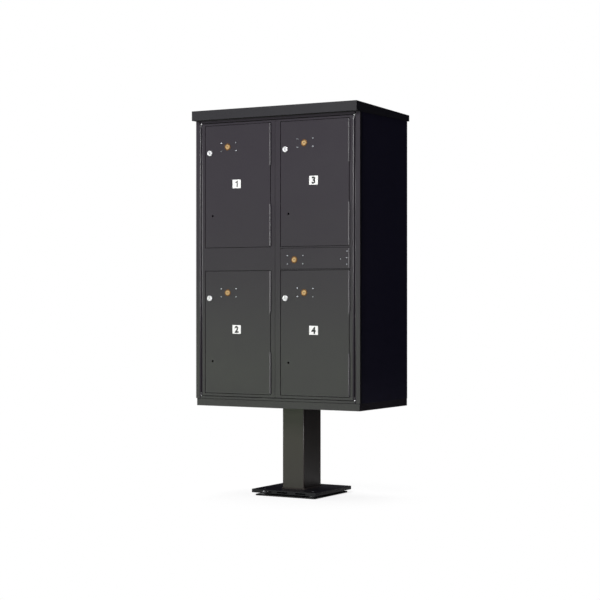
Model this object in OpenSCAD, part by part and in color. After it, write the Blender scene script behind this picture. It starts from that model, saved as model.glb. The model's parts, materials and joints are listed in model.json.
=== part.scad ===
// Pedestal parcel locker with two swinging door frames, four parcel doors
// and one access door. Origin: centre of the anchor hole pattern on the
// floor, +Z up, doors facing -Y.

/* [Cabinet] */
// Width over the front frame
cabinet_width = 768; // [740:2:840]
// Depth from the frame's face to the back panel
cabinet_depth = 423; // [400:1:520]
// Height of the cabinet's lower edge above the floor
cabinet_bottom = 366; // [300:2:450]
// Height of the front frame
frame_height = 1145; // [1140:1:1200]
// Height of the base skirt under the front frame
skirt_height = 28.5; // [20:0.5:40]
// Thickness of the cabinet's sheet metal
sheet = 2; // [1.5:0.1:2.5]

/* [Hood] */
// How far the hood reaches in front of the frame
hood_overhang = 31; // [20:1:60]
// How far the hood reaches behind the back panel
hood_rear = 11; // [5:1:30]
// Height of the hood's front edge
hood_front_h = 39.5; // [30:0.5:60]
// Height of the hood's rear edge
hood_rear_h = 25; // [15:1:30]

/* [Doors] */
// Height of each parcel door
door_height = 500; // [480:1:502]
// Gap between a door and its frame on the lock side
door_gap = 3; // [2:0.5:4]
// Depth of a door pan
door_depth = 19; // [15:1:20]
// Height of the access door
access_height = 82.5; // [70:0.5:84]

/* [Hinges] */
// Radius of a parcel door's hinge barrel
barrel_r = 4; // [3.5:0.1:4.5]
// Radius of a hinge pin
hinge_pin_r = 2; // [1.5:0.1:2.5]
// Length of each of the two hinge sections of a door
hinge_length = 168; // [120:1:180]

/* [Locks] */
// Radius of the customer lock's face
cam_face_r = 11.5; // [10:0.5:12]
// Length of the cam from the lock's axis
cam_reach = 22; // [19:0.5:23]
// Radius of the control lock's brass plug
control_plug_r = 9.75; // [8:0.25:10]
// Travel of a control lock's slide
slide_travel = 7; // [6:0.5:7]

/* [Pedestal] */
// Width of the post, left to right
post_width = 102; // [80:1:140]
// Depth of the post, front to back
post_depth = 142; // [100:1:150]
// Side of the square base pan
base_side = 304; // [290:1:340]
// Side of the square pad on the floor
pad_side = 280; // [270:1:300]
// Spacing of the anchor holes, both ways
anchor_spacing = 228.6; // [220:0.2:235]
// Radius of an anchor hole
anchor_hole_r = 8; // [6:0.5:9]

/* [Hidden] */

// Colours
paint = [0.15, 0.15, 0.16];
paint_light = [0.24, 0.24, 0.25];
steel = [0.72, 0.72, 0.72];
brass = [0.72, 0.52, 0.25];
dark_steel = [0.2, 0.19, 0.19];
zinc = [0.55, 0.55, 0.55];

// Round features
round_fn = 48;
small_fn = 24;

// Cabinet planes
half_w = cabinet_width / 2;
front_y = -cabinet_depth / 2;
back_y = cabinet_depth / 2;
frame_z0 = cabinet_bottom + skirt_height + 1.5;
frame_z1 = frame_z0 + frame_height;
wall_x = half_w - 3;
floor_z0 = cabinet_bottom + skirt_height;
floor_z1 = frame_z0;
skirt_y = front_y + 2.5;

// Front frame
jamb_w = 24;
edge_r = 7;
return_depth = 26;
frame_open_x = half_w - jamb_w;
frame_open_z0 = frame_z0 + 9.5;
frame_open_z1 = frame_z1 - 10;
stop_w = 8;
latch_x = [9.3, 18.7];
latch_slot = [latch_x[0] - 1.3, latch_x[1] + 1.3];
shelf_y = front_y + 44;
shelf_flange = 15;

// Swinging door frames, called leaves
pivot_x = frame_open_x - 1;
pivot_y = front_y + 3;
pivot_pin_r = 1.9;
pivot_pin_h = 15;
pivot_collar_r = 3;
pivot_room_r = 3.8;
pivot_room_h = 16.5;
running_gap = 0.05;
seam_x = -2.5;
seam_gap = 2;
leaf_edge_x = pivot_x - 0.5;
leaf_z0 = frame_open_z0 + 2.5;
leaf_z1 = frame_open_z1 - 3;
leaf_depth = 22.5;
lip_reach = 8;
guide_h = 14;
lug_h = 11;
lug_reach = 16;
lug_room = 7.4;
lug_y = [pivot_y - 1, pivot_y + 3.2];
lug_z = [leaf_z0 + sheet + 0.2, leaf_z1 - sheet - lug_h - 0.2];

// Columns: x of the opening's lock side, and x of the door hinge's axis
opening_x = [-pivot_x + 19, 21];
hinge_x = [-24.5, pivot_x - 22.5];
hinge_gap = 1.5;
hinge_end = sheet + 0.3;
knuckle_gap = 0.5;
hinge_strip = 14;

// Rows: z of the lower edge of the lower and upper parcel doors
rail_gap = 2;
lower_door_z = leaf_z0 + 12;
upper_door_z = leaf_z1 - 10.5 - door_height;
access_z0 = lower_door_z + door_height + 6.5;
access_z1 = access_z0 + access_height;
access_gap = 1.5;
access_x0 = opening_x[1] + access_gap;
access_x1 = hinge_x[1] - hinge_gap;
access_hinge_z = access_z0 + hinge_end;
access_hinge_length = access_height - 2 * hinge_end;

// Lock positions, from a parcel door's lock-side edge and top edge
cam_x = 21;
cam_drop = 111;
control_x = 108;
control_drop = 88.5;
access_control = [opening_x[1] + door_gap + 62.5, access_z0 + 36.5];
rivet_pitch = 25.5;
peep_x = 35;
peep_drop = 370;
peep_r = 4.5;
screw_offset = 5;
screw_half = [35.5, 16.5];
screw_r = 2.75;
shank_r = 1.8;
shank_hole_r = 1.9;
boss_r = 13.5;
boss_hole_r = 14;
cam_barrel_r = 9;
cam_bore_r = 6.5;
cam_width = 11;

// Latch mechanism planes, behind the door pans
slide_y = [front_y + 24.2, front_y + 27.8];
cam_y = [front_y + 25, front_y + 27.5];
case_back_y = front_y + 30.2;
case_half = [43, 23];
crank_r = slide_travel;
crank_pin_r = 1.5;

// Pedestal heights
pad_h = 6;
base_z0 = 13;
base_z1 = 27;
base_sheet = 5;
top_plate_t = 6;
top_plate_side = 300;
bolt_spacing = 230;
bolt_r = 5;
bolt_hole_r = 5.5;
nut_h = 6;
nut_r = 9;
post_wall = 4;
spacer_r = 15;
base_slot_x = [-80, -5, 80];
base_slot_w = 48;

function column(n) = (n <= 2) ? 0 : 1;
function door_x0(n) = opening_x[column(n)] + door_gap;
function door_axis_x(n) = hinge_x[column(n)];
function door_z0(n) = (n % 2 == 1) ? upper_door_z : lower_door_z;
function door_z1(n) = door_z0(n) + door_height;

// A block between two opposite corners
module block(low, high) {
    translate(low)
        cube([high[0] - low[0], high[1] - low[1], high[2] - low[2]]);
}

// A cylinder along Y
module y_rod(x, z, y0, y1, r, sides = round_fn) {
    translate([x, y0, z])
        rotate([-90, 0, 0])
            cylinder(h = y1 - y0, r = r, $fn = sides);
}

// A cylinder along Z
module z_rod(x, y, z0, z1, r, sides = round_fn) {
    translate([x, y, z0])
        cylinder(h = z1 - z0, r = r, $fn = sides);
}

// A rectangular ring in the X-Z plane with the given wall, drawn outwards
module ring_outside(x0, z0, x1, z1, wall, y0, y1) {
    difference() {
        block([x0 - wall, y0, z0 - wall], [x1 + wall, y1, z1 + wall]);
        block([x0, y0 - 1, z0], [x1, y1 + 1, z1]);
    }
}

// A rectangular ring in the X-Z plane with the given wall, drawn inwards
module ring_inside(x0, z0, x1, z1, wall, y0, y1) {
    difference() {
        block([x0, y0, z0], [x1, y1, z1]);
        block([x0 + wall, y0 - 1, z0 + wall], [x1 - wall, y1 + 1, z1 - wall]);
    }
}

// A flat rectangle with rounded corners, centred
module round_rect(w, d, r) {
    square([w - 2 * r, d], center = true);
    square([w, d - 2 * r], center = true);
    for (sx = [-1, 1])
        for (sy = [-1, 1])
            translate([sx * (w / 2 - r), sy * (d / 2 - r)])
                circle(r = r, $fn = small_fn);
}

// Copies its children to the four corners of a square
module corners(spacing) {
    for (sx = [-1, 1])
        for (sy = [-1, 1])
            translate([sx * spacing / 2, sy * spacing / 2, 0])
                children();
}

// A folded sheet edge, rounded where it turns back: x = 0 is its outer
// plane, the front face is at y = 0 and the sheet goes towards +x and +y.
module folded_edge(depth, length) {
    linear_extrude(length) {
        intersection() {
            translate([edge_r, edge_r])
                difference() {
                    circle(r = edge_r, $fn = round_fn);
                    circle(r = edge_r - sheet, $fn = round_fn);
                }
            square([edge_r, edge_r]);
        }
        translate([0, edge_r])
            square([sheet, depth - edge_r]);
    }
}

// ---------- cabinet ----------

module hood_profile(inset) {
    y0 = front_y - hood_overhang + inset;
    y1 = back_y + hood_rear - inset;
    polygon([
        [y0, frame_z1 + inset],
        [y0, frame_z1 + hood_front_h - inset],
        [y1, frame_z1 + hood_rear_h - inset],
        [y1, frame_z1 + inset]
    ]);
}

module hood_solid(inset) {
    rotate([90, 0, 90])
        translate([0, 0, -half_w - 1 + inset])
            linear_extrude(2 * (half_w + 1 - inset))
                hood_profile(inset);
}

module hood() {
    color(paint_light)
        difference() {
            hood_solid(0);
            hood_solid(sheet);
            block([-wall_x + 12, front_y + 30, frame_z1 - 1],
                  [wall_x - 12, back_y - 12, frame_z1 + sheet + 1]);
        }
}

module side_panel(side) {
    outer = side * wall_x;
    inner = side * (wall_x - sheet);
    hem = side * (frame_open_x + 1);
    color(paint) {
        block([min(outer, inner), front_y + sheet, floor_z0],
              [max(outer, inner), back_y - sheet, frame_z1]);
        block([min(hem, inner), front_y + return_depth, floor_z1],
              [max(hem, inner), front_y + return_depth + sheet, frame_z1 - sheet]);
    }
}

module back_panel() {
    color(paint)
        block([-wall_x, back_y - sheet, floor_z0], [wall_x, back_y, frame_z1]);
}

module floor_pan() {
    color(paint)
        difference() {
            block([-wall_x + sheet, front_y + sheet, floor_z0],
                  [wall_x - sheet, back_y - sheet, floor_z1]);
            corners(bolt_spacing)
                translate([0, 0, floor_z0 - 1])
                    cylinder(h = 5, r = bolt_hole_r, $fn = small_fn);
        }
}

module ceiling_panel() {
    color(paint)
        block([-wall_x + sheet, front_y + return_depth, frame_z1 - sheet],
              [wall_x - sheet, back_y - sheet, frame_z1]);
}

module jamb(side) {
    height = frame_z1 - frame_z0;
    stop_x = side * (frame_open_x - stop_w);
    translate([side * frame_open_x, front_y, frame_z0])
        scale([side, 1, 1])
            folded_edge(return_depth, height);
    block([min(side * (frame_open_x + edge_r), side * half_w), front_y, frame_z0],
          [max(side * (frame_open_x + edge_r), side * half_w), front_y + sheet, frame_z1]);
    block([min(side * (half_w - sheet), side * half_w), front_y, frame_z0],
          [max(side * (half_w - sheet), side * half_w), front_y + 12, frame_z1]);
    block([min(stop_x, side * (frame_open_x + sheet)), front_y + leaf_depth + 0.5, frame_open_z0],
          [max(stop_x, side * (frame_open_x + sheet)), front_y + leaf_depth + 2.5, frame_open_z1]);
}

module front_frame() {
    color(paint_light)
        difference() {
            union() {
                for (side = [-1, 1])
                    jamb(side);
                block([-frame_open_x - 1, front_y, frame_z0],
                      [frame_open_x + 1, front_y + sheet, frame_open_z0]);
                block([-frame_open_x - 1, front_y, frame_open_z0 - sheet],
                      [frame_open_x + 1, front_y + return_depth, frame_open_z0]);
                block([-frame_open_x - 1, front_y, frame_open_z1],
                      [frame_open_x + 1, front_y + sheet, frame_z1]);
                block([-frame_open_x - 1, front_y, frame_open_z1],
                      [frame_open_x + 1, front_y + return_depth, frame_open_z1 + sheet]);
            }
            for (side = [-1, 1])
                for (z = [frame_open_z0, frame_open_z1 - pivot_room_h])
                    z_rod(side * pivot_x, pivot_y, z, z + pivot_room_h, pivot_room_r);
            block([latch_slot[0], front_y + 22, frame_open_z1 - 1],
                  [latch_slot[1], front_y + return_depth + 1, frame_open_z1 + sheet + 1]);
        }
}

module base_skirt() {
    x = wall_x;
    color(paint_light)
        difference() {
            block([-x, skirt_y, cabinet_bottom], [x, back_y - 2.5, floor_z0]);
            block([-x + sheet, skirt_y + sheet, cabinet_bottom - 1],
                  [x - sheet, back_y - 2.5 - sheet, floor_z0 - sheet]);
            block([-x + 15, skirt_y + 15, cabinet_bottom - 1],
                  [x - 15, back_y - 17.5, floor_z0 + 1]);
        }
}

module centre_partition() {
    x0 = seam_x - 1.25;
    x1 = seam_x + 1.25;
    color(paint) {
        block([x0, front_y + return_depth, floor_z1],
              [x1, back_y - sheet, frame_z1 - sheet]);
        block([x0, front_y + leaf_depth + 2.5, frame_open_z0 + 0.5],
              [x1, front_y + return_depth, frame_open_z1 - 0.5]);
        block([seam_x - 11.5, front_y + leaf_depth + 0.5, frame_open_z0 + 0.5],
              [seam_x + 9.5, front_y + leaf_depth + 2.5, frame_open_z1 - 0.5]);
    }
}

// One shelf with a stiffening flange folded down along its front edge
module shelf(x0, x1, top_z) {
    block([x0, shelf_y, top_z - sheet], [x1, back_y - sheet, top_z]);
    block([x0, shelf_y, top_z - shelf_flange], [x1, shelf_y + sheet, top_z]);
}

module compartment_shelves() {
    color(paint)
        for (z = [access_z0 - 6, access_z1 + 10]) {
            shelf(-wall_x + sheet, seam_x - 1.25, z);
            shelf(seam_x + 1.25, wall_x - sheet, z);
        }
}

// A pivot pin from z0 to z1 with a collar at collar_z
module pivot_pin(side, z0, z1, collar_z, collar_h) {
    z_rod(side * pivot_x, pivot_y, z0, z1, pivot_pin_r, small_fn);
    z_rod(side * pivot_x, pivot_y, collar_z, collar_z + collar_h, pivot_collar_r, small_fn);
}

module leaf_pivot_pins() {
    color(steel)
        for (side = [-1, 1]) {
            pivot_pin(side, frame_open_z0, frame_open_z0 + pivot_pin_h, frame_open_z0, 2.2);
            pivot_pin(side, frame_open_z1 - pivot_pin_h, frame_open_z1, frame_open_z1 - 2.5, 2.5);
        }
}

// ---------- pedestal ----------

module pedestal_top_plate() {
    color(dark_steel)
        difference() {
            block([-top_plate_side / 2, -top_plate_side / 2, floor_z0 - top_plate_t],
                  [top_plate_side / 2, top_plate_side / 2, floor_z0]);
            corners(bolt_spacing)
                translate([0, 0, floor_z0 - top_plate_t - 1])
                    cylinder(h = top_plate_t + 2, r = bolt_hole_r, $fn = small_fn);
        }
}

module pedestal_post() {
    color(dark_steel)
        translate([0, 0, base_z1])
            linear_extrude(floor_z0 - top_plate_t - base_z1)
                difference() {
                    round_rect(post_width, post_depth, post_wall);
                    round_rect(post_width - 2 * post_wall, post_depth - 2 * post_wall, 2);
                }
}

module pedestal_base_pan() {
    half = base_side / 2;
    color(dark_steel)
        difference() {
            translate([0, 0, base_z0])
                linear_extrude(base_z1 - base_z0)
                    round_rect(base_side, base_side, 6);
            translate([0, 0, base_z0 - 1])
                linear_extrude(base_z1 - base_z0 - base_sheet + 1)
                    round_rect(base_side - 8, base_side - 8, 2);
            for (x = base_slot_x)
                block([x - base_slot_w / 2, -half - 1, base_z0 + 3.5],
                      [x + base_slot_w / 2, half + 1, base_z0 + 8.5]);
            corners(anchor_spacing)
                translate([0, 0, base_z0])
                    cylinder(h = base_z1 - base_z0 + 1, r = anchor_hole_r, $fn = round_fn);
        }
}

module anchor_pad() {
    color(dark_steel)
        difference() {
            linear_extrude(pad_h)
                round_rect(pad_side, pad_side, 5);
            corners(anchor_spacing)
                translate([0, 0, -1])
                    cylinder(h = pad_h + 2, r = anchor_hole_r, $fn = round_fn);
        }
}

module leveling_spacers() {
    color(zinc)
        corners(anchor_spacing)
            translate([0, 0, pad_h])
                difference() {
                    cylinder(h = base_z1 - base_sheet - pad_h, r = spacer_r, $fn = small_fn);
                    translate([0, 0, -1])
                        cylinder(h = base_z1, r = anchor_hole_r + 0.5, $fn = round_fn);
                }
}

module pedestal_bolts() {
    color(zinc)
        corners(bolt_spacing) {
            z_rod(0, 0, floor_z1, floor_z1 + nut_h, nut_r, 6);
            z_rod(0, 0, floor_z0 - top_plate_t - 10, floor_z1, bolt_r, small_fn);
            z_rod(0, 0, floor_z0 - top_plate_t - nut_h, floor_z0 - top_plate_t, nut_r, 6);
        }
}

// ---------- leaves ----------

// Three knuckles on the frame and two on the door make one hinge section
function knuckle(length) = (length - 4 * knuckle_gap) / 5;
function knuckle_z(z0, length, i) = z0 + i * (knuckle(length) + knuckle_gap);
function upper_hinge_z(z1) = z1 - hinge_length - hinge_end;
function lower_hinge_z(z0) = z0 + hinge_end;

// Room for the barrel in the door's or the frame's sheet
module barrel_room(x, z0, length) {
    block([x - barrel_r - 0.8, front_y - 1, z0 - 0.5],
          [x + barrel_r + 0.8, front_y + 5.2, z0 + length + 0.5]);
}

// Frame-side half of a hinge section: tubes and their mounting strip
module hinge_frame_half(x, z0, length) {
    z1 = z0 + length;
    for (i = [0, 2, 4])
        difference() {
            union() {
                z_rod(x, front_y, knuckle_z(z0, length, i), knuckle_z(z0, length, i) + knuckle(length),
                      barrel_r, small_fn);
                block([x + 1, front_y + 2, knuckle_z(z0, length, i)],
                      [x + 6, front_y + 3.5, knuckle_z(z0, length, i) + knuckle(length)]);
            }
            z_rod(x, front_y, z0 - 1, z1 + 1, hinge_pin_r + running_gap, small_fn);
        }
    block([x + barrel_r + 0.8, front_y + 2, z0], [x + hinge_strip, front_y + 3.5, z1]);
}

// Door-side half of a hinge section: tubes closed on the pin, and a strip
module hinge_door_half(x, z0, length) {
    z1 = z0 + length;
    z_rod(x, front_y, z0, z1, hinge_pin_r, small_fn);
    for (i = [1, 3]) {
        z_rod(x, front_y, knuckle_z(z0, length, i), knuckle_z(z0, length, i) + knuckle(length),
              barrel_r, small_fn);
        block([x - 6, front_y + 2, knuckle_z(z0, length, i)],
              [x - 1, front_y + 3.5, knuckle_z(z0, length, i) + knuckle(length)]);
    }
    block([x - hinge_strip, front_y + 2, z0], [x - barrel_r - 0.8, front_y + 3.5, z1]);
}

// Sheet returns and stop lips round one door opening of a leaf
module opening_edges(x0, z0, x1, z1) {
    ring_outside(x0, z0, x1, z1, sheet, front_y, front_y + leaf_depth);
    ring_inside(x0 - sheet, z0 - sheet, x1 + sheet, z1 + sheet, lip_reach + sheet,
                front_y + leaf_depth - sheet, front_y + leaf_depth);
}

// A leaf's sheet frame: x0 and x1 are its edges, side tells where it pivots
module leaf_frame(side, free_x, col, has_access) {
    pivot_edge = side * leaf_edge_x;
    flat_x = side * (leaf_edge_x - edge_r);
    ox0 = opening_x[col];
    ox1 = hinge_x[col] + hinge_gap;
    lower = [lower_door_z - rail_gap, lower_door_z + door_height + rail_gap];
    upper = [upper_door_z - rail_gap, upper_door_z + door_height + rail_gap];
    middle = [access_z0 - access_gap, access_z1 + access_gap];
    openings = has_access ? [lower, upper, middle] : [lower, upper];
    free_inner = free_x + side * sheet;
    difference() {
        union() {
            difference() {
                block([min(flat_x, free_x), front_y, leaf_z0],
                      [max(flat_x, free_x), front_y + sheet, leaf_z1]);
                for (o = openings)
                    block([ox0, front_y - 1, o[0]], [ox1, front_y + 9, o[1]]);
            }
            translate([pivot_edge, front_y, leaf_z0])
                scale([-side, 1, 1])
                    folded_edge(leaf_depth, leaf_z1 - leaf_z0);
            block([min(free_x, free_inner), front_y, leaf_z0],
                  [max(free_x, free_inner), front_y + leaf_depth, leaf_z1]);
            for (z = [leaf_z0, leaf_z1 - sheet])
                block([min(flat_x, free_x), front_y, z],
                      [max(flat_x, free_x), front_y + leaf_depth, z + sheet]);
            for (o = openings)
                opening_edges(ox0, o[0], ox1, o[1]);
        }
        for (z = [leaf_z0 - 1, leaf_z1 - 15])
            z_rod(side * pivot_x, pivot_y, z, z + 16, 4);
        for (z = lug_z)
            block([min(side * pivot_x, side * (pivot_x - lug_room)), lug_y[0] - 0.3, z - 0.3],
                  [max(side * pivot_x, side * (pivot_x - lug_room)), lug_y[1] + 0.3, z + lug_h + 0.3]);
        for (z = [lower_door_z, upper_door_z]) {
            barrel_room(hinge_x[col], lower_hinge_z(z), hinge_length);
            barrel_room(hinge_x[col], upper_hinge_z(z + door_height), hinge_length);
        }
        if (has_access)
            barrel_room(hinge_x[col], access_hinge_z, access_hinge_length);
    }
}

// A strap behind the right leaf that guides the latch bar, with a foot on
// the opening's lip
module latch_guide(z) {
    y0 = front_y + leaf_depth;
    x0 = latch_x[0] - 1.7;
    x1 = latch_x[1] + 1.9;
    difference() {
        block([x0, y0, z], [x1, y0 + 10.2, z + guide_h]);
        block([latch_x[0] - 0.3, y0 + 1.7, z - 1], [latch_x[1] + 0.3, y0 + 8.3, z + guide_h + 1]);
        block([x0 - 1, y0 - 1, z - 1], [x0 + 0.5, y0 + 3.1, z + guide_h + 1]);
    }
    block([x1, y0, z], [opening_x[1] + lip_reach - 1, y0 + 1.5, z + guide_h]);
}

module leaf_pivots(side) {
    for (z = lug_z)
        difference() {
            union() {
                z_rod(side * pivot_x, pivot_y, z, z + lug_h, lug_y[1] - pivot_y, small_fn);
                block([min(side * pivot_x, side * (pivot_x - lug_reach)), lug_y[0], z],
                      [max(side * pivot_x, side * (pivot_x - lug_reach)), lug_y[1], z + lug_h]);
            }
            z_rod(side * pivot_x, pivot_y, z - 1, z + lug_h + 1,
                  pivot_pin_r + running_gap, small_fn);
        }
}

// Hinge sections and pivot lugs of a leaf, and the right leaf's latch guides
module leaf_fittings(side, col, has_access) {
    leaf_pivots(side);
    for (z = [lower_door_z, upper_door_z]) {
        hinge_frame_half(hinge_x[col], lower_hinge_z(z), hinge_length);
        hinge_frame_half(hinge_x[col], upper_hinge_z(z + door_height), hinge_length);
    }
    if (has_access) {
        hinge_frame_half(hinge_x[col], access_hinge_z, access_hinge_length);
        for (z = [access_z1 + 60, upper_door_z + door_height - 60])
            latch_guide(z);
    }
}

module left_leaf_frame() {
    color(paint)
        leaf_frame(-1, seam_x - seam_gap / 2, 0, false);
}

module right_leaf_frame() {
    color(paint)
        leaf_frame(1, seam_x + seam_gap / 2, 1, true);
}

module left_leaf_fittings() {
    color(paint_light)
        leaf_fittings(-1, 0, false);
}

module right_leaf_fittings() {
    color(paint_light)
        leaf_fittings(1, 1, true);
}

// Vertical bar that locks the right leaf into the frame's head
module latch_bar() {
    y0 = front_y + leaf_depth + 2;
    tab_z = access_z1 - 22;
    color(zinc) {
        block([latch_x[0], y0, tab_z - 12], [latch_x[1], y0 + 6, leaf_z1 - 2]);
        block([latch_x[1], y0, tab_z - 12], [latch_x[1] + 15.3, y0 + 3, tab_z]);
    }
}

// ---------- parcel doors ----------

// A door pan: front sheet with returned edges, room for the hinge barrels
module door_pan(x0, x1, z0, z1) {
    block([x0, front_y, z0], [x1, front_y + sheet, z1]);
    ring_inside(x0, z0, x1, z1, sheet, front_y, front_y + door_depth);
}

module screw_places(x, z) {
    for (sx = [-1, 1])
        for (sz = [-1, 1])
            translate([x + screw_offset + sx * screw_half[0], 0, z + sz * screw_half[1]])
                children();
}

module door_panel(n) {
    x0 = door_x0(n);
    x1 = door_axis_x(n) - hinge_gap;
    z0 = door_z0(n);
    z1 = door_z1(n);
    color(paint)
        difference() {
            door_pan(x0, x1, z0, z1);
            barrel_room(door_axis_x(n), lower_hinge_z(z0), hinge_length);
            barrel_room(door_axis_x(n), upper_hinge_z(z1), hinge_length);
            y_rod(x0 + cam_x, z1 - cam_drop, front_y - 1, front_y + 5, cam_barrel_r + 0.2);
            y_rod(x0 + control_x, z1 - control_drop, front_y - 1, front_y + 5, boss_hole_r);
            y_rod(x0 + peep_x, z1 - peep_drop, front_y - 1, front_y + 5, peep_r, small_fn);
            screw_places(x0 + control_x, z1 - control_drop)
                y_rod(0, 0, front_y - 1, front_y + 5, shank_hole_r, small_fn);
        }
}

module door_hinge(n) {
    color(paint_light) {
        hinge_door_half(door_axis_x(n), lower_hinge_z(door_z0(n)), hinge_length);
        hinge_door_half(door_axis_x(n), upper_hinge_z(door_z1(n)), hinge_length);
    }
}

// Case of a control lock: boss for the plug in front, channel for the slide
module lock_case(x, z) {
    difference() {
        union() {
            block([x + screw_offset - case_half[0], front_y + sheet, z - case_half[1]],
                  [x + screw_offset + case_half[0], case_back_y, z + case_half[1]]);
            y_rod(x, z, front_y + 0.8, front_y + 5, boss_r);
        }
        y_rod(x, z, front_y - 1, slide_y[0], control_plug_r + running_gap);
        block([x - 20, slide_y[0] - 0.3, z - 13], [x + 8, slide_y[1] + 0.3, z + 13]);
        block([x - 50, slide_y[0] - 0.3, z - 6.4], [x, slide_y[1] + 0.3, z + 6.4]);
        screw_places(x, z)
            y_rod(0, 0, front_y, front_y + 14, shank_hole_r, small_fn);
    }
}

// Plug of a control lock, with its crank pin below the axis at the back
module control_plug(x, z) {
    difference() {
        union() {
            y_rod(x, z, front_y - 1, slide_y[0] - 0.6, control_plug_r);
            y_rod(x, z - crank_r, slide_y[0] - 1, slide_y[1] - 0.2, crank_pin_r, small_fn);
        }
        block([x - 4.5, front_y - 2, z - 1.1], [x + 4.5, front_y + 2, z + 1.1]);
    }
}

// Flat slide of a control lock, moved by the crank pin in its slot
module control_slide(x, z, tip_x) {
    drift = 0.211 * crank_r;
    slot_x0 = x - crank_pin_r - drift - 0.4;
    slot_x1 = x + crank_pin_r + 0.4;
    difference() {
        union() {
            block([x - 12, slide_y[0], z - 12.5], [x + 7, slide_y[1], z + 12.5]);
            block([tip_x, slide_y[0], z - 6], [x - 11, slide_y[1], z + 6]);
        }
        block([slot_x0, slide_y[0] - 1, z - crank_r - 2], [slot_x1, slide_y[1] + 1, z + 2]);
    }
}

module lock_screw() {
    y_rod(0, 0, front_y - 0.9, front_y, screw_r, small_fn);
    y_rod(0, 0, front_y, front_y + 13.5, shank_r, small_fn);
}

module door_lock_case(n) {
    color(dark_steel)
        lock_case(door_x0(n) + control_x, door_z1(n) - control_drop);
}

module door_control_plug(n) {
    color(brass)
        control_plug(door_x0(n) + control_x, door_z1(n) - control_drop);
}

module door_control_slide(n) {
    color(zinc)
        control_slide(door_x0(n) + control_x, door_z1(n) - control_drop,
                      opening_x[column(n)] + lip_reach + 1);
}

module door_fasteners(n) {
    x0 = door_x0(n);
    z1 = door_z1(n);
    color(steel) {
        screw_places(x0 + control_x, z1 - control_drop)
            lock_screw();
        difference() {
            y_rod(x0 + cam_x, z1 - cam_drop, front_y + sheet, front_y + 7, 14, 6);
            y_rod(x0 + cam_x, z1 - cam_drop, front_y, front_y + 9, cam_barrel_r + 0.1);
        }
    }
}

module door_cam_body(n) {
    x = door_x0(n) + cam_x;
    z = door_z1(n) - cam_drop;
    color(steel)
        difference() {
            union() {
                y_rod(x, z, front_y - 2, front_y, cam_face_r);
                y_rod(x, z, front_y - 0.5, front_y + 22, cam_barrel_r);
            }
            y_rod(x, z, front_y - 3, front_y + 23, cam_bore_r);
        }
}

// Plug and cam of a customer lock, the cam hanging down when released
module door_cam_plug(n) {
    x = door_x0(n) + cam_x;
    z = door_z1(n) - cam_drop;
    color(steel)
        difference() {
            union() {
                y_rod(x, z, front_y - 2.2, cam_y[1] + 2, cam_bore_r - running_gap);
                y_rod(x, z, cam_y[0], cam_y[1], 7.5);
                block([x - cam_width / 2, cam_y[0], z - cam_reach], [x + cam_width / 2, cam_y[1], z]);
            }
            block([x - 0.9, front_y - 4, z - 3.6], [x + 0.9, front_y + 4, z + 3.6]);
        }
}

// ---------- access door ----------

module access_rivet_places() {
    for (i = [-1, 0, 1])
        translate([hinge_x[1] - 10.5, 0, access_control[1] + 5 + i * rivet_pitch])
            children();
    translate([hinge_x[1] - 39, 0, access_control[1]])
        children();
}

module access_door_panel() {
    color(paint)
        difference() {
            door_pan(access_x0, access_x1, access_z0, access_z1);
            barrel_room(hinge_x[1], access_hinge_z, access_hinge_length);
            y_rod(access_control[0], access_control[1], front_y - 1, front_y + 5, boss_hole_r);
            screw_places(access_control[0], access_control[1])
                y_rod(0, 0, front_y - 1, front_y + 5, shank_hole_r, small_fn);
            access_rivet_places()
                y_rod(0, 0, front_y - 1, front_y + 5, shank_hole_r, small_fn);
        }
}

module access_door_hinge() {
    color(paint_light)
        difference() {
            hinge_door_half(hinge_x[1], access_hinge_z, access_hinge_length);
            access_rivet_places()
                y_rod(0, 0, front_y - 1, front_y + 8, shank_hole_r, small_fn);
        }
}

module access_lock_case() {
    color(dark_steel)
        lock_case(access_control[0], access_control[1]);
}

module access_fasteners() {
    color(steel) {
        screw_places(access_control[0], access_control[1])
            lock_screw();
        access_rivet_places() {
            y_rod(0, 0, front_y - 0.8, front_y, 2.4, small_fn);
            y_rod(0, 0, front_y, front_y + 5, shank_r, small_fn);
        }
    }
}

module access_control_plug() {
    color(brass)
        control_plug(access_control[0], access_control[1]);
}

module access_bolt() {
    color(zinc)
        control_slide(access_control[0], access_control[1], opening_x[1] + lip_reach + 1);
}

// ---------- what is drawn ----------

hood();
side_panel(-1);  // side_panel_left
side_panel(1);  // side_panel_right
back_panel();
floor_pan();
ceiling_panel();
front_frame();
base_skirt();
centre_partition();
compartment_shelves();
leaf_pivot_pins();
pedestal_top_plate();
pedestal_post();
pedestal_base_pan();
anchor_pad();
leveling_spacers();
pedestal_bolts();
left_leaf_frame();
left_leaf_fittings();
right_leaf_frame();
right_leaf_fittings();
latch_bar();
for (n = [1 : 4]) {
    door_panel(n);
    door_hinge(n);
    door_lock_case(n);
    door_fasteners(n);
    door_cam_body(n);
    door_cam_plug(n);
    door_control_plug(n);
    door_control_slide(n);
}
access_door_panel();
access_door_hinge();
access_lock_case();
access_fasteners();
access_control_plug();
access_bolt();
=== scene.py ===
"""Pedestal parcel locker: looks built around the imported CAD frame, in metres."""

import json
import math

import bmesh
import bpy
from mathutils import Matrix, Vector


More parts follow.
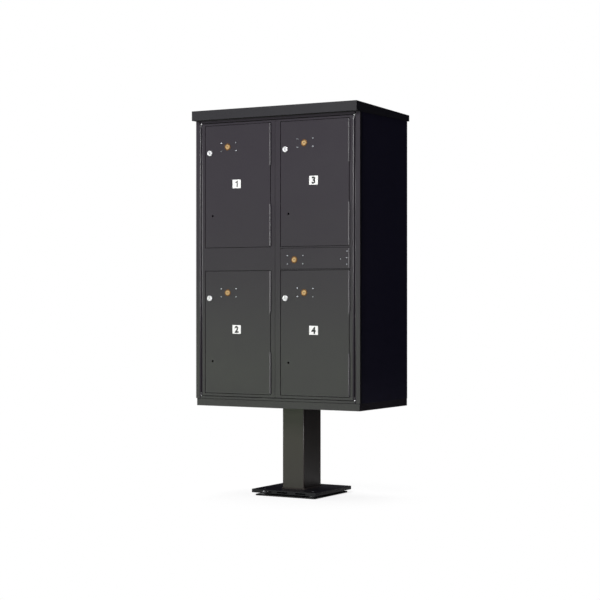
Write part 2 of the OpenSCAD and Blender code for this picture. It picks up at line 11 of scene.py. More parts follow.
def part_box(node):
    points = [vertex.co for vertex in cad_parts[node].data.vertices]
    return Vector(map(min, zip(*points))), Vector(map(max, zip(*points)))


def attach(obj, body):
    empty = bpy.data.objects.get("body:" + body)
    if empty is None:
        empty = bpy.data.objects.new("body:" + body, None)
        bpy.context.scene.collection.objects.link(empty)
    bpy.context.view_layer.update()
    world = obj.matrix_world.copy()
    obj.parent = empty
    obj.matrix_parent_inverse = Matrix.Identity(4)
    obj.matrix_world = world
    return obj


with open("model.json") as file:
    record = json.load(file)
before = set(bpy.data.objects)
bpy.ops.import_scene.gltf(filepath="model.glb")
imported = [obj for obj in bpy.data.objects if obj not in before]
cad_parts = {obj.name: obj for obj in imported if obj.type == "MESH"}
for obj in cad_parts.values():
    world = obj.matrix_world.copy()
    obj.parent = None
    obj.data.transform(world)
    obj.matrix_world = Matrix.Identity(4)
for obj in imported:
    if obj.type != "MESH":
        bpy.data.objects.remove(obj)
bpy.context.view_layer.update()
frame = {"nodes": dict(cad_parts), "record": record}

MM = 0.001
DOORS = (1, 2, 3, 4)
scene = bpy.context.scene
nodes = frame["nodes"]
front_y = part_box("front_frame")[0].y

# Edge finishing of the CAD nodes, angles in degrees
JOIN_GAP = 0.01 * MM
PAINT_BEVEL = 0.45 * MM
METAL_BEVEL = 0.2 * MM
BEVEL_ANGLE = 40
FLAT_ANGLE = 0.5
FACET_ANGLE = 8

# Texture scales, in cycles per metre
CLOUD_SCALE = 2.6
WIPE_SCALE = 9.0
PEEL_SCALE = 420.0
DUST_SCALE = 1500.0
TARNISH_SCALE = 60.0
BRUSH_SCALE = 500.0
MOTTLE_SCALE = 180.0

# Locks and screws: R is a radius, H a height above the sheet
CAP_PROUD = 0.9 * MM
CUSTOMER_CAP_R = 6.35 * MM
CUSTOMER_BEZEL_R = (6.7 * MM, 11.4 * MM)
CUSTOMER_BEZEL_H = 1.6 * MM
CONTROL_RING_R = 13.9 * MM
CONTROL_RING_GAP = 0.3 * MM
CONTROL_RING_H = 1.1 * MM
# Arms of a key slot: half width, half height and rise above the lock's centre
T_SLOT = [(0.8 * MM, 2.7 * MM, -0.7 * MM), (2.6 * MM, 0.7 * MM, 2.1 * MM)]
BAR_SLOT = [(4.2 * MM, 0.9 * MM, 0.0)]
SCREW_DOME = 0.7 * MM

# Number plates: each drops a little differently below its door's top edge
LABEL_DROP = {1: 241.5 * MM, 2: 238.0 * MM, 3: 239.5 * MM, 4: 238.5 * MM}
LABEL_X = 151.5 * MM
LABEL_W = 40 * MM
LABEL_H = 35.5 * MM
LABEL_CORNER = 1.5 * MM
LABEL_T = 0.7 * MM
NUMERAL_H = 26 * MM
NUMERAL_T = 0.3 * MM
NUMERAL_ASPECT = 0.72


# ---------------------------------------------------------------- materials

def new_material(name):
    """A node material with a Principled shader; returns it, its tree and the shader."""
    mat = bpy.data.materials.new(name)
    mat.use_nodes = True
    tree = mat.node_tree
    return mat, tree, tree.nodes["Principled BSDF"]


def noise(tree, scale, detail=3.0, roughness=0.5, stretch=(1.0, 1.0, 1.0)):
    """A noise texture in object space; stretch scales its axes."""
    coord = tree.nodes.new("ShaderNodeTexCoord")
    mapping = tree.nodes.new("ShaderNodeMapping")
    mapping.inputs["Scale"].default_value = stretch
    tex = tree.nodes.new("ShaderNodeTexNoise")
    tex.inputs["Scale"].default_value = scale
    tex.inputs["Detail"].default_value = detail
    tex.inputs["Roughness"].default_value = roughness
    tree.links.new(coord.outputs["Object"], mapping.inputs["Vector"])
    tree.links.new(mapping.outputs["Vector"], tex.inputs["Vector"])
    return tex


def ramp(tree, source, stops):
    """A colour ramp fed by source; stops are (position, colour)."""
    node = tree.nodes.new("ShaderNodeValToRGB")
    elements = node.color_ramp.elements
    while len(elements) < len(stops):
        elements.new(0.5)
    for element, (position, colour) in zip(elements, stops):
        element.position = position
        element.color = (*colour, 1.0)
    tree.links.new(source, node.inputs["Fac"])
    return node.outputs["Color"]


def span(tree, source, low, high):
    """Maps a 0 to 1 source onto low to high."""
    node = tree.nodes.new("ShaderNodeMapRange")
    node.inputs["To Min"].default_value = low
    node.inputs["To Max"].default_value = high
    tree.links.new(source, node.inputs["Value"])
    return node.outputs["Result"]


def bump(tree, shader, source, strength, distance):
    """Feeds the shader a bump made from source, distance metres high."""
    node = tree.nodes.new("ShaderNodeBump")
    node.inputs["Strength"].default_value = strength
    node.inputs["Distance"].default_value = distance
    tree.links.new(source, node.inputs["Height"])
    tree.links.new(node.outputs["Normal"], shader.inputs["Normal"])


def shade(colour, factor):
    """The colour made lighter or darker, kept at 1 or under."""
    return tuple(min(1.0, c * factor) for c in colour)


def depth_mask(tree, clear, shaded):
    """Mask that goes from 0 at the first depth to 1 at the second behind the cabinet's front face:
    it marks where shade is painted into gaps and recesses.
    """
    coord = tree.nodes.new("ShaderNodeTexCoord")
    split = tree.nodes.new("ShaderNodeSeparateXYZ")
    node = tree.nodes.new("ShaderNodeMapRange")
    node.inputs["From Min"].default_value = front_y + clear
    node.inputs["From Max"].default_value = front_y + shaded
    tree.links.new(coord.outputs["Object"], split.inputs["Vector"])
    tree.links.new(split.outputs["Y"], node.inputs["Value"])
    return node.outputs["Result"]


def underside_mask(tree):
    """Mask of surfaces that face down, where shade is painted in under the hood."""
    coord = tree.nodes.new("ShaderNodeTexCoord")
    split = tree.nodes.new("ShaderNodeSeparateXYZ")
    node = tree.nodes.new("ShaderNodeMapRange")
    node.inputs["From Min"].default_value = -0.5
    node.inputs["From Max"].default_value = -0.9
    tree.links.new(coord.outputs["Normal"], split.inputs["Vector"])
    tree.links.new(split.outputs["Z"], node.inputs["Value"])
    return node.outputs["Result"]


def powder_coat(name, colour, rough=0.31, grain=0.10, gloss=0.5, shaded=None):
    """Satin powder coat: fine orange peel, cloudy tone and faint dust specks.

    The last argument, if given, is a function that makes the mask of places where shade is painted
    in: there the coat goes nearly black and rougher."""
    mat, tree, shader = new_material(name)
    cloud = noise(tree, CLOUD_SCALE, detail=5.0)
    tone = ramp(tree, cloud.outputs["Fac"], [
        (0.30, shade(colour, 0.90)),
        (0.55, colour),
        (0.75, shade(colour, 1.12)),
    ])
    speck = noise(tree, DUST_SCALE, detail=1.0)
    mask = span(tree, speck.outputs["Fac"], 0.0, 1.0)
    light = tree.nodes.new("ShaderNodeMix")
    light.data_type = "RGBA"
    light.inputs["B"].default_value = (*shade(colour, 1.5), 1.0)
    tree.links.new(mask, light.inputs["Factor"])
    tree.links.new(tone, light.inputs["A"])
    wipe = noise(tree, WIPE_SCALE, detail=6.0, roughness=0.6)
    base = light.outputs["Result"]
    matt = span(tree, wipe.outputs["Fac"], rough - 0.05, rough + 0.06)
    # Painted shade: where the mask is 1, the coat is darkened to nearly black and made rougher.
    if shaded:
        dark = shaded(tree)
        shaded_coat = tree.nodes.new("ShaderNodeMix")
        shaded_coat.data_type = "RGBA"
        shaded_coat.inputs["B"].default_value = (*shade(colour, 0.08), 1.0)
        tree.links.new(dark, shaded_coat.inputs["Factor"])
        tree.links.new(base, shaded_coat.inputs["A"])
        base = shaded_coat.outputs["Result"]
        rougher = tree.nodes.new("ShaderNodeMath")
        rougher.operation = "MULTIPLY_ADD"
        rougher.inputs[1].default_value = 0.45
        tree.links.new(dark, rougher.inputs[0])
        tree.links.new(matt, rougher.inputs[2])
        matt = rougher.outputs["Value"]
    tree.links.new(base, shader.inputs["Base Color"])
    tree.links.new(matt, shader.inputs["Roughness"])
    shader.inputs["Specular IOR Level"].default_value = gloss
    peel = noise(tree, PEEL_SCALE, detail=2.0)
    bump(tree, shader, peel.outputs["Fac"], grain, 0.0004)
    return mat


def brushed_metal(name, colour, rough, stretch, wear=0.85, metallic=1.0):
    """Metal with fine lines along one axis and a slightly uneven tone.

    A metallic under 1 gives a satin plating that also scatters light."""
    mat, tree, shader = new_material(name)
    shader.inputs["Metallic"].default_value = metallic
    cloud = noise(tree, TARNISH_SCALE, detail=4.0)
    tone = ramp(tree, cloud.outputs["Fac"], [
        (0.30, shade(colour, wear)),
        (0.70, colour),
    ])
    tree.links.new(tone, shader.inputs["Base Color"])
    lines = noise(tree, BRUSH_SCALE, detail=2.0, stretch=stretch)
    tree.links.new(span(tree, lines.outputs["Fac"], rough - 0.06, rough + 0.10),
                   shader.inputs["Roughness"])
    bump(tree, shader, lines.outputs["Fac"], 0.08, 0.0001)
    return mat


def plastic(name, colour, rough):
    """Smooth moulded or printed surface with a faint mottle."""
    mat, tree, shader = new_material(name)
    mottle = noise(tree, MOTTLE_SCALE, detail=3.0)
    tone = ramp(tree, mottle.outputs["Fac"], [
        (0.35, shade(colour, 0.95)),
        (0.65, colour),
    ])
    tree.links.new(tone, shader.inputs["Base Color"])
    tree.links.new(span(tree, mottle.outputs["Fac"], rough - 0.04, rough + 0.04),
                   shader.inputs["Roughness"])
    bump(tree, shader, mottle.outputs["Fac"], 0.05, 0.0001)
    return mat


# Depths behind the front face where painted shade starts and where it is full: the front pieces get
# painted shade inside their gaps, and the floor pan on its front lip
GAP_SHADE_DEPTHS = (3.5 * MM, 9 * MM)
LIP_SHADE_DEPTHS = (30 * MM, 20 * MM)

PAINT_COLOUR = (0.0215, 0.0188, 0.0235)
INNER_COLOUR = (0.016, 0.0155, 0.0170)
PAINT = powder_coat("cabinet_paint", PAINT_COLOUR)
# The side panels get a darker, bluer copy of the cabinet paint: painted shade on the sides.
SHADED_SIDE_PAINT = powder_coat("side_paint_shaded", (0.0155, 0.0140, 0.0300))
# Front pieces: the paint has painted shade deep in their gaps.
FRONT_PAINT = powder_coat("front_paint_shaded_gaps", PAINT_COLOUR,
                          shaded=lambda tree: depth_mask(tree, *GAP_SHADE_DEPTHS))
HINGE_PAINT = powder_coat("hinge_paint", PAINT_COLOUR, rough=0.28, gloss=0.55)
# Hood paint, with painted shade on its underside.
HOOD_PAINT = powder_coat("hood_paint_shaded_underside", (0.018, 0.0180, 0.0200), rough=0.33, shaded=underside_mask)
INNER_PAINT = powder_coat("inner_paint", INNER_COLOUR, rough=0.5)
# Floor pan: the paint has painted shade on its front lip, behind the doors.
FLOOR_PAINT = powder_coat("floor_pan_paint_shaded_lip", INNER_COLOUR, rough=0.5,
                          shaded=lambda tree: depth_mask(tree, *LIP_SHADE_DEPTHS))
POST_PAINT = powder_coat("pedestal_paint", (0.023, 0.0195, 0.0180), rough=0.33)
# The base pan's paint is made far darker than the cabinet's: painted shade from the cabinet above
# it.
SHADED_PAN_PAINT = powder_coat("base_pan_paint_shaded", (0.0055, 0.0053, 0.0068), rough=0.40, grain=0.15,
                        gloss=0.25)
PAD_PAINT = powder_coat("pad_paint", (0.010, 0.0095, 0.0100), rough=0.60, grain=0.2, gloss=0.25)
ZINC = brushed_metal("zinc_plate", (0.58, 0.59, 0.60), 0.38, (1.0, 1.0, 6.0))
PIN_ZINC = brushed_metal("pin_zinc", (0.82, 0.82, 0.84), 0.34, (1.0, 1.0, 6.0))
CHROME = brushed_metal("lock_chrome_metal", (0.90, 0.90, 0.92), 0.34, (8.0, 1.0, 1.0), wear=0.95,
                       metallic=0.5)
BRASS = brushed_metal("lock_brass_metal", (0.62, 0.41, 0.19), 0.42, (8.0, 1.0, 1.0), metallic=0.6)
# The lock rings get a darker copy of the brass: painted shade.
SHADED_BRASS = brushed_metal("lock_ring_shaded_brass", (0.190, 0.088, 0.020), 0.48, (1.0, 1.0, 8.0),
                       metallic=0.5)
CASE_STEEL = brushed_metal("case_steel", (0.16, 0.16, 0.165), 0.45, (1.0, 1.0, 10.0))
SCREW_STEEL = brushed_metal("screw_steel_metal", (0.42, 0.44, 0.47), 0.36, (4.0, 4.0, 1.0))
LABEL_WHITE = plastic("label_white", (0.86, 0.86, 0.85), 0.40)
LABEL_INK = plastic("label_ink", (0.012, 0.012, 0.014), 0.35)
# Near-black plates that stand in for the shade inside key slots.
KEYWAY_SHADE = plastic("keyway_black", (0.006, 0.006, 0.007), 0.5)

# Finish of each material slot, and of the nodes whose finish differs from their slot's
SLOT_MATERIAL = {
    "black_paint": PAINT,
    "pedestal_paint": POST_PAINT,
    "zinc_steel": ZINC,
    "lock_case_steel": CASE_STEEL,
    "lock_chrome": CHROME,
    "lock_brass": BRASS,
    "screw_steel": SCREW_STEEL,
}
NODE_MATERIAL = {
    "hood": HOOD_PAINT,
    "side_panel_left": SHADED_SIDE_PAINT,
    "side_panel_right": SHADED_SIDE_PAINT,
    "back_panel": PAINT,
    "floor_pan": FLOOR_PAINT,
    "ceiling_panel": INNER_PAINT,
    "centre_partition": INNER_PAINT,
    "compartment_shelves": INNER_PAINT,
    "pedestal_base_pan": SHADED_PAN_PAINT,
    "anchor_pad": PAD_PAINT,
    "leaf_pivot_pins": PIN_ZINC,
    "front_frame": FRONT_PAINT,
    "left_leaf_frame": FRONT_PAINT,
    "right_leaf_frame": FRONT_PAINT,
    "access_door_panel": FRONT_PAINT,
    "left_leaf_fittings": HINGE_PAINT,
    "right_leaf_fittings": HINGE_PAINT,
    "access_door_hinge": HINGE_PAINT,
}
for n in DOORS:
    NODE_MATERIAL[f"door_{n}_panel"] = FRONT_PAINT
    NODE_MATERIAL[f"door_{n}_hinge"] = HINGE_PAINT


def finish_cad_nodes():
    """Gives every CAD node its material, and softens its sheet-metal edges.

    The hinge barrels keep flat facets, so that their highlights run straight."""
    slot_of = {s["node"]: s["material_slot"] for s in frame["record"]["subparts"]}
    for name, obj in nodes.items():
        material = NODE_MATERIAL.get(name, SLOT_MATERIAL[slot_of[name]])
        if not obj.data.materials:
            obj.data.materials.append(material)
        for material_slot in obj.material_slots:
            material_slot.material = material
        weld = obj.modifiers.new("join_seams", "WELD")
        weld.merge_threshold = JOIN_GAP
        flatten = obj.modifiers.new("clean_flats", "DECIMATE")
        flatten.decimate_type = "DISSOLVE"
        flatten.angle_limit = math.radians(FLAT_ANGLE)
        bevel = obj.modifiers.new("soft_edges", "BEVEL")
        bevel.width = PAINT_BEVEL if slot_of[name].endswith("paint") else METAL_BEVEL
        bevel.segments = 2
        bevel.limit_method = "ANGLE"
        bevel.angle_limit = math.radians(BEVEL_ANGLE)
        bevel.harden_normals = True
        if NODE_MATERIAL.get(name) is HINGE_PAINT:
            facets = obj.modifiers.new("flat_facets", "EDGE_SPLIT")
            facets.split_angle = math.radians(FACET_ANGLE)


# ---------------------------------------------------------------- mesh tools

def link_mesh(name, mesh_data, material):
    """A new object in the scene that shows the mesh in one material."""
    obj = bpy.data.objects.new(name, mesh_data)
    scene.collection.objects.link(obj)
    obj.data.materials.append(material)
    return obj


def from_bmesh(name, bm, material, smooth_angle=35.0):
    """A new object made from bm, smooth but for edges sharper than smooth_angle degrees."""
    bmesh.ops.recalc_face_normals(bm, faces=bm.faces)
    data = bpy.data.meshes.new(name)
    bm.to_mesh(data)
    bm.free()
    data.shade_smooth()
    obj = link_mesh(name, data, material)
    data.set_sharp_from_angle(angle=math.radians(smooth_angle))
    return obj


def lathe(bm, centre, profile, sides=48):
    """Turns profile, (radius, y) pairs, round the Y axis through centre. Ends on the axis close."""
    rings = []
    for radius, y in profile:
        if radius < 1e-7:
            rings.append([bm.verts.new(centre + Vector((0, y, 0)))])
            continue
        ring = []
        for i in range(sides):
            a = 2 * math.pi * i / sides
            ring.append(bm.verts.new(
                centre + Vector((radius * math.cos(a), y, radius * math.sin(a)))))
        rings.append(ring)
    for low, high in zip(rings, rings[1:]):
        for i in range(sides):
            j = (i + 1) % sides
            if len(low) == 1:
                bm.faces.new((low[0], high[i], high[j]))
            elif len(high) == 1:
                bm.faces.new((low[i], low[j], high[0]))
            else:
                bm.faces.new((low[i], low[j], high[j], high[i]))


def round_corner_outline(width, height, radius, steps=6):
    """Points of a rounded rectangle round the origin, anticlockwise."""
    points = []
    corners = [(1, 1, 0), (-1, 1, 90), (-1, -1, 180), (1, -1, 270)]
    for sx, sz, start in corners:
        cx = sx * (width / 2 - radius)
        cz = sz * (height / 2 - radius)
        for i in range(steps + 1):
            a = math.radians(start + 90 * i / steps)
            points.append((cx + radius * math.cos(a), cz + radius * math.sin(a)))
    return points


def plate(bm, outline, centre, y_back, y_front, chamfer):
    """A flat plate in the X-Z plane with a chamfer round its front edge."""
    cx = sum(p[0] for p in outline) / len(outline)
    cz = sum(p[1] for p in outline) / len(outline)
    reach = max(math.hypot(x - cx, z - cz) for x, z in outline)
    inner = 1.0 - chamfer / reach
    loops = []
    for y, k in ((y_back, 1.0), (y_front + chamfer, 1.0), (y_front, inner)):
        loops.append([bm.verts.new(centre + Vector((cx + (x - cx) * k, y, cz + (z - cz) * k)))
                      for x, z in outline])
    count = len(outline)
    for low, high in zip(loops, loops[1:]):
        for i in range(count):
            j = (i + 1) % count
            bm.faces.new((low[i], low[j], high[j], high[i]))
    bm.faces.new(loops[0])
    bm.faces.new(loops[-1])


# ---------------------------------------------------------------- locks

def lock_centre(node):
    """Centre of a round lock node's front face, from its box."""
    low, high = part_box(node)
    return Vector(((low.x + high.x) / 2, low.y, (low.z + high.z) / 2))


def keyed_cap(name, body, centre, radius, material, key_slots):
    """A thin flat cap on a plug's face, with a ring groove, and a near-black plate standing proud
    of it as the painted shade of the key slot.

    key_slots holds (half width, half height, rise) of each arm of the slot."""
    bm = bmesh.new()
    lathe(bm, centre, [
        (0.0, -CAP_PROUD),
        (radius * 0.74, -CAP_PROUD),
        (radius * 0.76, -CAP_PROUD * 0.6),
        (radius * 0.79, -CAP_PROUD * 0.6),
        (radius * 0.81, -CAP_PROUD),
        (radius * 0.94, -CAP_PROUD),
        (radius * 0.985, -CAP_PROUD * 0.6),
        (radius * 0.985, 0.0),
        (0.0, 0.0),
    ])
    cap = from_bmesh(name, bm, material)
    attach(cap, body)
    bm = bmesh.new()
    for half_x, half_z, rise in key_slots:
        outline = round_corner_outline(2 * half_x, 2 * half_z, min(half_x, half_z) * 0.8, 4)
        plate(bm, outline, centre + Vector((0, 0, rise)), -CAP_PROUD * 0.5,
              -CAP_PROUD - 0.08 * MM, 0.05 * MM)
    slot = from_bmesh(name + "_keyway", bm, KEYWAY_SHADE)
    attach(slot, body)


def bezel(name, body, centre, inner, outer, height, material, slot_name):
    """A rounded ring round a lock's plug, its back on the plane of centre."""
    bm = bmesh.new()
    lathe(bm, centre, [
        (inner, 0.0),
        (inner, -height * 0.80),
        (inner + (outer - inner) * 0.08, -height),
        (inner + (outer - inner) * 0.84, -height),
        (inner + (outer - inner) * 0.96, -height * 0.80),
        (outer, -height * 0.35),
        (outer, 0.0),
        (inner, 0.0),
    ])
    bmesh.ops.remove_doubles(bm, verts=bm.verts, dist=0.001 * MM)
    ring = from_bmesh(name, bm, material, smooth_angle=50.0)
    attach(ring, body)


def customer_lock(n):
    """Bright face of a parcel door's customer lock."""
    centre = lock_centre(f"door_{n}_cam_body")
    bezel(f"door_{n}_cam_bezel", f"door_{n}", centre, *CUSTOMER_BEZEL_R, CUSTOMER_BEZEL_H,
          CHROME, "lock_chrome")
    centre.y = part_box(f"door_{n}_cam_plug")[0].y
    keyed_cap(f"door_{n}_cam_cap", f"door_{n}_cam", centre, CUSTOMER_CAP_R, CHROME, T_SLOT)


def control_lock(prefix, door_body, plug_body, plug_node):
    """Brass plug face, and a ring in a darker copy of the brass as painted shade, of a control
    lock.

    The plug's box reaches below its face, to the crank pin, so its centre comes from the top."""
    low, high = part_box(plug_node)
    radius = (high.x - low.x) / 2
    centre = Vector(((low.x + high.x) / 2, low.y, high.z - radius))
    keyed_cap(prefix + "_plug_cap", plug_body, centre, radius, BRASS, BAR_SLOT)
    centre.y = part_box(door_body + "_panel")[0].y
    bezel(prefix + "_ring", door_body, centre, radius + CONTROL_RING_GAP, CONTROL_RING_R,
          CONTROL_RING_H, SHADED_BRASS, "lock_brass")


# ---------------------------------------------------------------- fasteners

def screw_head(bm, centre, radius, height):
    """A pan head with a cross recess, its flat side on the sheet."""
    lathe(bm, centre, [
        (0.0, -height * 0.45),
        (radius * 0.16, -height * 0.50),
        (radius * 0.34, -height * 0.97),
        (radius * 0.60, -height),
        (radius * 0.86, -height * 0.70),
        (radius, -height * 0.25),
        (radius, 0.0),
        (0.0, 0.0),
    ], sides=24)


def islands(obj):
    """Boxes of the separate solids of a CAD node: (low, high) pairs."""
    bm = bmesh.new()
    bm.from_mesh(obj.data)
    bmesh.ops.remove_doubles(bm, verts=bm.verts, dist=JOIN_GAP)
    seen = set()
    boxes = []
    for start in bm.verts:
        if start.index in seen:
            continue
        stack = [start]
        seen.add(start.index)
        group = []
        while stack:
            vert = stack.pop()
            group.append(vert.co.copy())
            for edge in vert.link_edges:
                other = edge.other_vert(vert)
                if other.index not in seen:
                    seen.add(other.index)
                    stack.append(other)
        boxes.append((Vector(map(min, *group)), Vector(map(max, *group))))
    bm.free()
    return boxes


def fastener_faces(node, body, sheet_node):
    """Rounded heads over each screw and rivet of a fastener node."""
    face_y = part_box(sheet_node)[0].y
    heads = bmesh.new()
    for low, high in islands(nodes[node]):
        if low.y > face_y - 0.1 * MM:
            continue
        centre = Vector(((low.x + high.x) / 2, low.y, (low.z + high.z) / 2))
        screw_head(heads, centre, (high.x - low.x) / 2 * 0.98, SCREW_DOME)
    obj = from_bmesh(node + "_heads", heads, SCREW_STEEL)
    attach(obj, body)


# ---------------------------------------------------------------- labels

def one_with_flag(height, thickness):
    """Mesh of a bold numeral 1 with a flag, in the X-Z plane with its back at y = 0."""
    outline = [(0.22, 0.0), (0.42, 0.0), (0.42, 1.0), (0.26, 1.0), (0.18, 0.86), (0.0, 0.80),
               (0.0, 0.66), (0.22, 0.70)]
    bm = bmesh.new()
    plate(bm, [((x - 0.21) * height, (z - 0.5) * height) for x, z in outline],
          Vector((0, 0, 0)), 0.0, -thickness, 0.02 * MM)
    mesh = bpy.data.meshes.new("numeral_1")
    bmesh.ops.recalc_face_normals(bm, faces=bm.faces)
    bm.to_mesh(mesh)
    bm.free()
    return mesh


def numeral(n, height, thickness):
    """Mesh of one numeral, centred, standing in the X-Z plane with its back at y = 0."""
    if n == 1:
        return one_with_flag(height, thickness)
    text = bpy.data.curves.new("numeral", "FONT")
    text.body = str(n)
    text.size = height / NUMERAL_ASPECT
    text.offset = 0.06 * height
    text.extrude = thickness / 2
    text.resolution_u = 6
    shape = bpy.data.objects.new("numeral", text)
    mesh = bpy.data.meshes.new_from_object(shape)
    bpy.data.objects.remove(shape)
    bpy.data.curves.remove(text)
    xs = [v.co.x for v in mesh.vertices]
    ys = [v.co.y for v in mesh.vertices]
    middle = Vector(((min(xs) + max(xs)) / 2, (min(ys) + max(ys)) / 2, -thickness / 2))
    mesh.transform(Matrix.Rotation(math.radians(90), 4, "X") @ Matrix.Translation(-middle))
    return mesh


def door_label(n):
    """White number plate stuck on a parcel door."""
    low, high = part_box(f"door_{n}_panel")
    centre = Vector((low.x + LABEL_X, low.y, high.z - LABEL_DROP[n]))
    bm = bmesh.new()
    plate(bm, round_corner_outline(LABEL_W, LABEL_H, LABEL_CORNER), centre, 0.0, -LABEL_T,
          0.25 * MM)
    label = from_bmesh(f"door_{n}_label", bm, LABEL_WHITE, smooth_angle=20.0)
    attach(label, f"door_{n}")
    ink = numeral(n, NUMERAL_H, NUMERAL_T)
    ink.transform(Matrix.Translation(centre + Vector((0, -LABEL_T + 0.05 * MM, 0))))
    digit = link_mesh(f"door_{n}_number", ink, LABEL_INK)
    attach(digit, f"door_{n}")


# ---------------------------------------------------------------- sheet-metal details

def seam_lip():
    """Narrow lip on the right leaf that closes most of the slit between the leaves."""
    side_gap = 0.7 * MM
    end_gap = 3 * MM
    y_back = 1.9 * MM
    y_front = 0.7 * MM
    left_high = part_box("left_leaf_frame")[1]
    right_low, right_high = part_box("right_leaf_frame")
    width = right_low.x - left_high.x - side_gap
    height = right_high.z - right_low.z - 2 * end_gap
    centre = Vector((right_low.x - width / 2, front_y, (right_low.z + right_high.z) / 2))
    outline = round_corner_outline(width, height, 0.4 * MM, 3)
    bm = bmesh.new()
    plate(bm, outline, centre, y_back, y_front, 0.02 * MM)
    lip = from_bmesh("seam_lip", bm, FRONT_PAINT)
    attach(lip, "right_leaf")


def weld_bead(name, node, z, lean):
    """Rippled fillet weld round a rectangular post at height z; lean is 1 up or -1 down."""
    leg = 5 * MM
    ripple = 0.5 * MM
    pitch = 2.5 * MM
    corner = 4 * MM
    arc_steps = 4
    flattening = 0.72
    low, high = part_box(node)
    outline = round_corner_outline(high.x - low.x, high.y - low.y, corner, 6)
    path = []
    for i, (x, y) in enumerate(outline):
        nx, ny = outline[(i + 1) % len(outline)]
        steps = max(1, round(math.hypot(nx - x, ny - y) / pitch))
        path += [(x + (nx - x) * k / steps, y + (ny - y) * k / steps) for k in range(steps)]
    bm = bmesh.new()
    rings = []
    for i, (x, y) in enumerate(path):
        bx, by = path[i - 1]
        nx, ny = path[(i + 1) % len(path)]
        out = Vector((ny - by, bx - nx, 0)).normalized()
        swell = leg + (ripple if i % 2 else -ripple)
        foot = Vector((x, y, z)) - out * 0.2 * MM
        ring = []
        for k in range(arc_steps + 1):
            a = math.radians(90 * k / arc_steps)
            reach = swell * (1 - math.sin(a) * flattening) * math.cos(a)
            rise = Vector((0, 0, lean * swell * math.sin(a)))
            ring.append(bm.verts.new(foot + out * reach + rise))
        ring.append(bm.verts.new(foot))
        rings.append(ring)
    for low_ring, high_ring in zip(rings, rings[1:] + rings[:1]):
        for k in range(len(low_ring)):
            j = (k + 1) % len(low_ring)
            bm.faces.new((low_ring[k], low_ring[j], high_ring[j], high_ring[k]))
    bead = from_bmesh(name, bm, POST_PAINT, smooth_angle=60.0)
    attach(bead, "cabinet")


# ---------------------------------------------------------------- stage

def area_light(name, place, target, size_x, size_y, power, colour=(1.0, 1.0, 1.0)):
    """A rectangular light of so many watts at place, facing target."""
    data = bpy.data.lights.new(name, "AREA")
    data.shape = "RECTANGLE"
    data.size = size_x
    data.size_y = size_y
    data.energy = power
    data.color = colour
    light = bpy.data.objects.new(name, data)
    scene.collection.objects.link(light)
    light.location = place
    light.rotation_euler = (Vector(target) - Vector(place)).to_track_quat("-Z", "Y").to_euler()


def camera_switch(tree, for_light, for_camera, out):
    """Shows the camera one shader, and everything else another."""
    path = tree.nodes.new("ShaderNodeLightPath")
    mix = tree.nodes.new("ShaderNodeMixShader")
    tree.links.new(path.outputs["Is Camera Ray"], mix.inputs["Fac"])
    tree.links.new(for_light, mix.inputs[1])
    tree.links.new(for_camera, mix.inputs[2])
    tree.links.new(mix.outputs["Shader"], out.inputs["Surface"])


def background(tree, colour, strength):
    """Output of a world background shader."""
    node = tree.nodes.new("ShaderNodeBackground")
    node.inputs["Color"].default_value = (*colour, 1.0)
    node.inputs["Strength"].default_value = strength
    return node.outputs["Background"]


def surroundings():
    """White surroundings for the camera, dim bluish ones for the light on the object."""
    world = bpy.data.worlds.new("studio")
    scene.world = world
    world.use_nodes = True
    tree = world.node_tree
    tree.nodes.clear()
    out = tree.nodes.new("ShaderNodeOutputWorld")
    dim = background(tree, (0.60, 0.55, 1.0), 0.02)
    white = background(tree, (1.0, 1.0, 1.0), 1.0)
    camera_switch(tree, dim, white, out)


def studio_lights():
    """Large soft lights: place, target, width, height, power and tint of each."""
    chest = (0, -0.2, 1.0)
    crown = (0, -0.2, 1.3)
    knee = (0, -0.2, 0.5)
    warm_pink = (1.06, 0.90, 1.14)
    pale_green = (0.90, 1.10, 0.74)
    area_light("front_key", (0.55, -4.2, 3.2), chest, 0.9, 1.6, 155)
    area_light("front_fill", (1.3, -5.4, 0.9), chest, 1.6, 1.0, 105)
    area_light("softbox_upper", (-2.9, -5.2, 1.8), crown, 3.4, 1.4, 8, warm_pink)
    area_light("softbox_lower", (-2.9, -5.2, 0.20), knee, 3.4, 0.5, 21, pale_green)
    area_light("strip_left", (-4.5, -1.0, 1.4), chest, 1.6, 2.4, 120)
    area_light("overhead", (-0.6, 0.4, 4.4), (0, 0, 1.5), 2.6, 2.6, 25)
    area_light("back_top", (-0.8, 2.0, 4.4), (0, 0.2, 1.1), 2.0, 2.0, 70)
    area_light("far_right", (6.0, 0.2, 1.8), chest, 1.2, 2.2, 4)


def emission(tree, strength):
    """Output of a plain white emission shader."""
    node = tree.nodes.new("ShaderNodeEmission")
    node.inputs["Strength"].default_value = strength
    return node.outputs["Emission"]


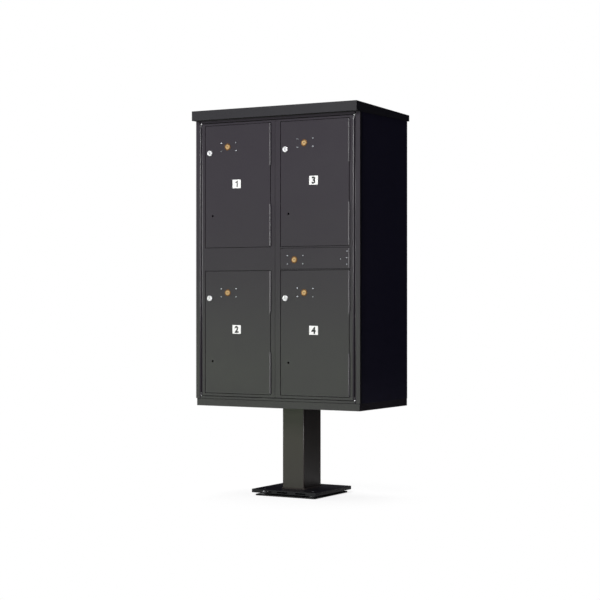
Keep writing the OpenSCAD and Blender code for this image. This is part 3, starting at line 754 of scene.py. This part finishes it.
def floor_material():
    """Pale floor: the camera sees it fade to white, and it lights the object unevenly."""
    shadow_fade = (0.2, 0.6)
    bounce_reach = 4.0
    bounce_grey = [(0.0, 0.75), (0.09, 0.70), (0.26, 0.18), (0.60, 0.18), (0.85, 0.02)]
    mat = bpy.data.materials.new("pale_floor")
    mat.use_nodes = True
    tree = mat.node_tree
    tree.nodes.clear()
    out = tree.nodes.new("ShaderNodeOutputMaterial")
    coord = tree.nodes.new("ShaderNodeTexCoord")
    length = tree.nodes.new("ShaderNodeVectorMath")
    length.operation = "LENGTH"
    tree.links.new(coord.outputs["Object"], length.inputs[0])
    distance = length.outputs["Value"]

    reach = tree.nodes.new("ShaderNodeMapRange")
    reach.inputs["From Max"].default_value = bounce_reach
    tree.links.new(distance, reach.inputs["Value"])
    bounce = tree.nodes.new("ShaderNodeBsdfDiffuse")
    albedo = ramp(tree, reach.outputs["Result"], [(at, (g, g, g)) for at, g in bounce_grey])
    tree.links.new(albedo, bounce.inputs["Color"])

    pale = tree.nodes.new("ShaderNodeBsdfDiffuse")
    pale.inputs["Color"].default_value = (0.30, 0.30, 0.30, 1.0)
    near = tree.nodes.new("ShaderNodeAddShader")
    tree.links.new(pale.outputs["BSDF"], near.inputs[0])
    tree.links.new(emission(tree, 0.78), near.inputs[1])
    fade = tree.nodes.new("ShaderNodeMapRange")
    fade.interpolation_type = "SMOOTHSTEP"
    fade.inputs["From Min"].default_value = shadow_fade[0]
    fade.inputs["From Max"].default_value = shadow_fade[1]
    tree.links.new(distance, fade.inputs["Value"])
    seen = tree.nodes.new("ShaderNodeMixShader")
    tree.links.new(fade.outputs["Result"], seen.inputs["Fac"])
    tree.links.new(near.outputs["Shader"], seen.inputs[1])
    tree.links.new(emission(tree, 1.0), seen.inputs[2])
    camera_switch(tree, bounce.outputs["BSDF"], seen.outputs["Shader"], out)
    return mat


def floor():
    """Plain pale floor with a soft shadow near the object."""
    half = 60.0
    data = bpy.data.meshes.new("floor")
    corners = [(-half, -half, 0), (half, -half, 0), (half, half, 0), (-half, half, 0)]
    data.from_pydata(corners, [], [(0, 1, 2, 3)])
    link_mesh("floor", data, floor_material())


def camera():
    """Level camera, 30 degrees to the right of the front."""
    azimuth = math.radians(30.02)
    data = bpy.data.cameras.new("camera")
    data.sensor_width = 36.0
    data.lens = 97.84
    cam = bpy.data.objects.new("camera", data)
    scene.collection.objects.link(cam)
    cam.location = (3.370, -5.848, 0.802)
    cam.rotation_euler = (math.radians(90), 0.0, azimuth)
    scene.camera = cam


# ---------------------------------------------------------------- build

camera()
surroundings()
studio_lights()
floor()
finish_cad_nodes()
for n in DOORS:
    customer_lock(n)
    control_lock(f"door_{n}", f"door_{n}", f"door_{n}_plug", f"door_{n}_control_plug")
    fastener_faces(f"door_{n}_fasteners", f"door_{n}", f"door_{n}_panel")
    door_label(n)
control_lock("access", "access_door", "access_plug", "access_control_plug")
fastener_faces("access_fasteners", "access_door", "access_door_panel")
seam_lip()
weld_bead("post_base_weld", "pedestal_post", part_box("pedestal_post")[0].z, 1)
weld_bead("post_top_weld", "pedestal_post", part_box("pedestal_post")[1].z, -1)
scene.view_settings.view_transform = "Standard"
